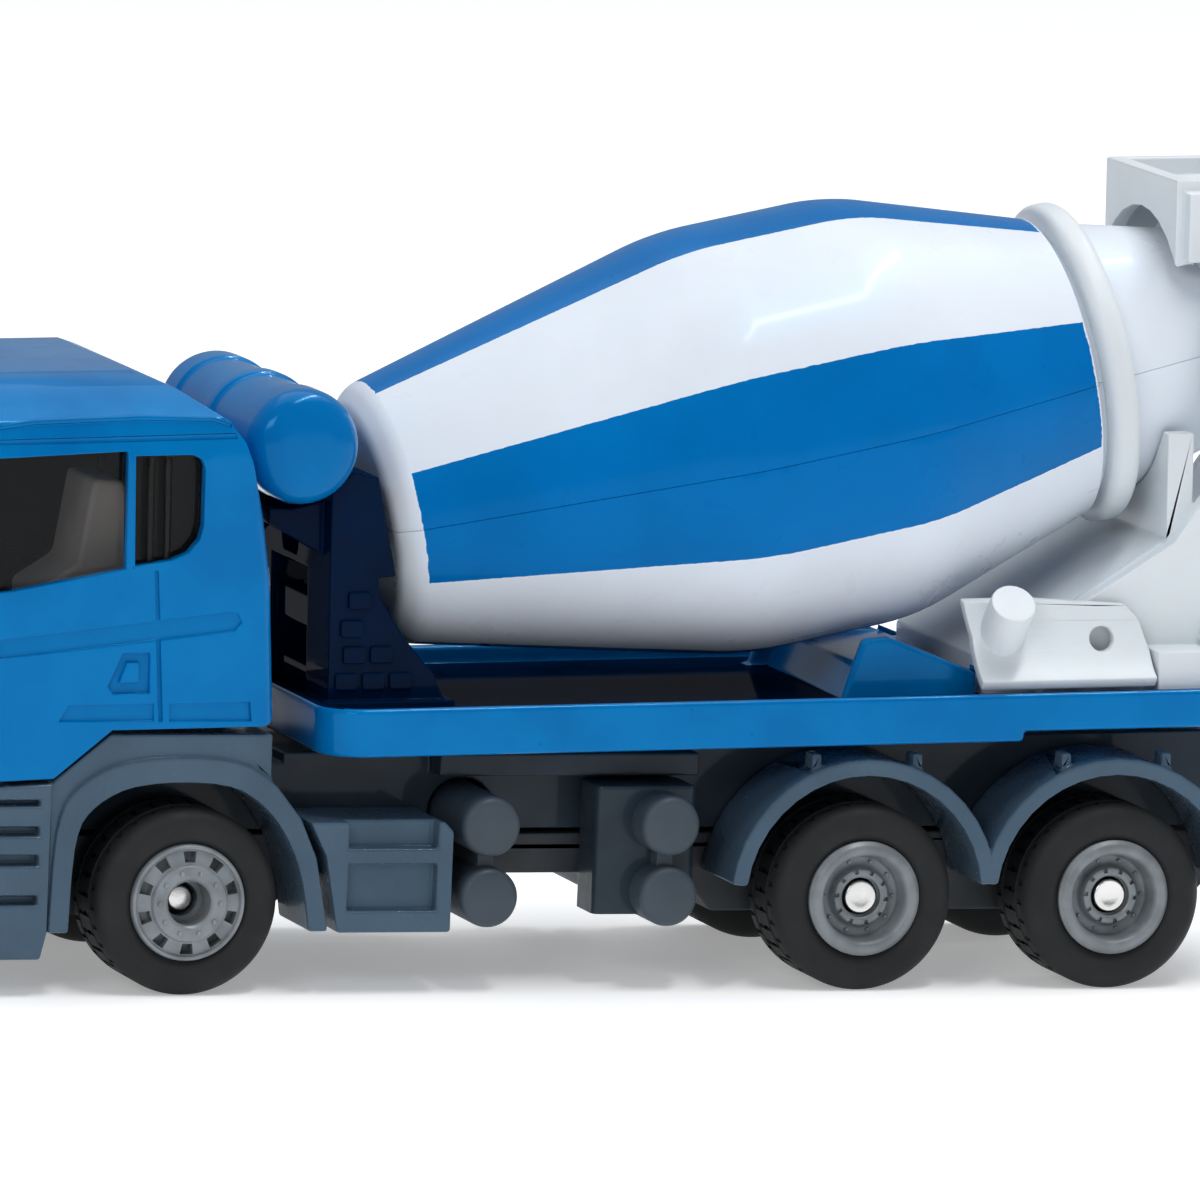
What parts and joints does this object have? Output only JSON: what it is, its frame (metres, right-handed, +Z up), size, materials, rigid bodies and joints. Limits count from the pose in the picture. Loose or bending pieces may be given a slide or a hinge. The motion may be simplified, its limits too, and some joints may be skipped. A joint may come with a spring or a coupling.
{
  "type": "toy cement mixer truck",
  "caption": "Toy concrete mixer truck with blue cab and deck, grey fenders, a turning white drum with blue panels, a rear hopper and a swivelling chute",
  "frame": {"origin": "centre of the bounding box in plan, on the surface that the tyres stand on", "axes": "+X toward the rear of the truck along its length, +Y toward its right side, +Z up"},
  "size_m": [0.1001, 0.0288, 0.0519],
  "materials": {
    "blue_paint": "glossy blue enamel on die-cast metal",
    "grey_paint": "glossy grey-blue enamel on die-cast metal",
    "grey_plastic": "satin mid-grey moulding",
    "dark_plastic": "satin dark moulding",
    "white_plastic": "slightly translucent white moulding, drum with printed blue panels",
    "rim_plastic": "satin grey moulding",
    "tyre_rubber": "matt black soft tyre",
    "steel": "bright turned steel",
    "tinted_glazing": "dark smoked clear plastic",
    "clear_lens": "clear lens",
    "seat_plastic": "brown-grey moulding"
  },
  "bodies": {
    "truck": {"chassis_frame": "grey_paint", "base_plate": "dark_plastic", "base_rivet_front": "steel", "base_rivet_rear": "steel", "cab_base": "grey_paint", "front_bumper": "grey_paint", "air_tanks_front": "grey_plastic", "air_tanks_rear": "grey_plastic", "headlight_left": "clear_lens", "side_box_left": "grey_paint", "rear_fender_left": "grey_paint", "headlight_right": "clear_lens", "side_box_right": "grey_paint", "rear_fender_right": "grey_paint", "cab_shell": "blue_paint", "cab_glazing": "tinted_glazing", "cab_interior": "seat_plastic", "front_grille": "dark_plastic", "deck": "blue_paint", "drum_pedestal": "blue_paint", "water_tank": "blue_paint", "rear_frame": "white_plastic", "hopper": "white_plastic"},
    "drum": {"drum_shell_upper": "white_plastic", "drum_shell_lower": "white_plastic", "drum_collar": "white_plastic", "drum_pin": "white_plastic"},
    "chute": {"chute_bracket": "white_plastic", "chute_main": "white_plastic"},
    "spare_chute_piece": {"spare_chute": "white_plastic"},
    "front_axle": {"front_axle_shaft": "steel", "front_axle_rim_left": "rim_plastic", "front_axle_rim_right": "rim_plastic", "front_axle_tyre_left": "tyre_rubber", "front_axle_tyre_right": "tyre_rubber"},
    "rear_axle_1": {"rear_axle_1_shaft": "steel", "rear_axle_1_rim_left": "rim_plastic", "rear_axle_1_rim_right": "rim_plastic", "rear_axle_1_tyre_left": "tyre_rubber", "rear_axle_1_tyre_right": "tyre_rubber"},
    "rear_axle_2": {"rear_axle_2_shaft": "steel", "rear_axle_2_rim_left": "rim_plastic", "rear_axle_2_rim_right": "rim_plastic", "rear_axle_2_tyre_left": "tyre_rubber", "rear_axle_2_tyre_right": "tyre_rubber"}
  },
  "joints": [
    {"name": "front_axle_spin", "type": "hinge", "parent": "truck", "child": "front_axle", "pos_m": [-0.033, 0, 0.006], "axis": [0, 1, 0], "continuous": true},
    {"name": "rear_axle_1_spin", "type": "hinge", "parent": "truck", "child": "rear_axle_1", "pos_m": [0.0121, 0, 0.006], "axis": [0, 1, 0], "continuous": true},
    {"name": "rear_axle_2_spin", "type": "hinge", "parent": "truck", "child": "rear_axle_2", "pos_m": [0.029, 0, 0.006], "axis": [0, 1, 0], "continuous": true},
    {"name": "drum_spin", "type": "hinge", "parent": "truck", "child": "drum", "pos_m": [-0.0183, 0, 0.02871], "axis": [0.9778, 0, 0.2096], "continuous": true},
    {"name": "chute_swivel", "type": "hinge", "parent": "truck", "child": "chute", "pos_m": [0.04342, 0, 0.0236], "axis": [-0.0209, 0, 0.9998], "range_deg": [-60, 60]},
    {"name": "spare_chute_lift", "type": "slide", "parent": "truck", "child": "spare_chute_piece", "axis": [-0.0181, -0.5, 0.8658], "range_m": [0, 0.02]}
  ]
}
